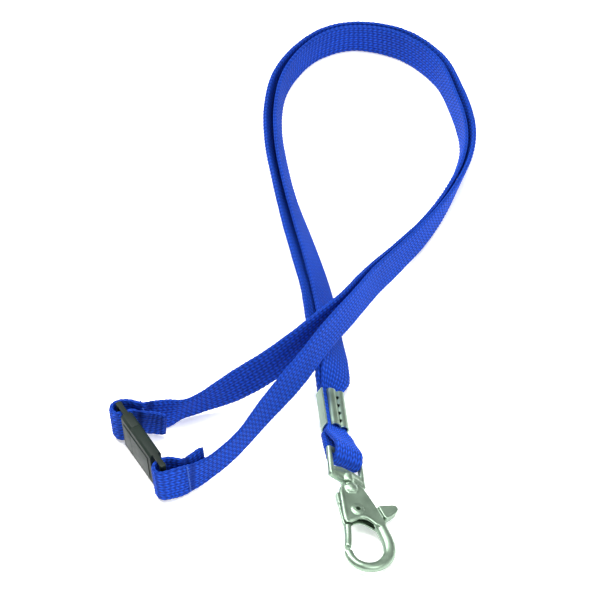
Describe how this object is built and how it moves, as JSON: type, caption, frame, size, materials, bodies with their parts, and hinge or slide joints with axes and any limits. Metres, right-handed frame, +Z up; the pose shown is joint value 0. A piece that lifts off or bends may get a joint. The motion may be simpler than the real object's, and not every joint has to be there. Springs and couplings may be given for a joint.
{
  "type": "neck lanyard badge holder",
  "caption": "Flat tube neck lanyard lying in a crossed loop, with a crimped end, a swivel trigger hook for a badge and a pull-apart safety clasp.",
  "frame": {"origin": "centre of the whole layout's box, on the table", "axes": "+Z up from the table, +Y from the hook towards the far end of the neck loop, +X to the right of the crossing"},
  "size_m": [0.1151, 0.2481, 0.0236],
  "materials": {
    "strap": "woven polyester",
    "thread": "sewing thread",
    "nickel": "satin nickel plate",
    "spring_steel": "bare wire",
    "clasp_plastic": "moulded"
  },
  "bodies": {
    "lanyard": {"outer_run": "strap", "inner_run": "strap", "hook_fold_strap": "strap", "near_strap_end": "strap", "near_stitching": "thread", "crimp": "nickel", "female_clasp": "clasp_plastic"},
    "clasp_male_half": {"male_clasp": "clasp_plastic", "far_strap_end": "strap", "far_stitching": "thread"},
    "eye": {"swivel_eye": "nickel"},
    "hook": {"hook_body": "nickel", "gate_rivet": "nickel", "gate_spring": "spring_steel"},
    "gate": {"gate_lever": "nickel"}
  },
  "joints": [
    {"name": "clasp_release", "type": "slide", "parent": "lanyard", "child": "clasp_male_half", "axis": [-0.454, 0.891, 0], "range_m": [0, 0.012]},
    {"name": "eye_swing", "type": "hinge", "parent": "lanyard", "child": "eye", "pos_m": [0.01359, -0.07983, 0.00905], "axis": [0.7567, 0.1493, -0.6365], "range_deg": [-40, 40]},
    {"name": "hook_swivel", "type": "hinge", "parent": "eye", "child": "hook", "pos_m": [0.0144, -0.0901, 0.0076], "axis": [-0.2228, 0.9649, 0.1392], "continuous": true},
    {"name": "gate_open", "type": "hinge", "parent": "hook", "child": "gate", "pos_m": [0.01705, -0.10158, 0.00594], "axis": [0.2824, -0.0728, 0.9565], "range_deg": [0, 24], "stiffness_Nm_per_rad": 0.05, "springref_deg": -17.19}
  ]
}
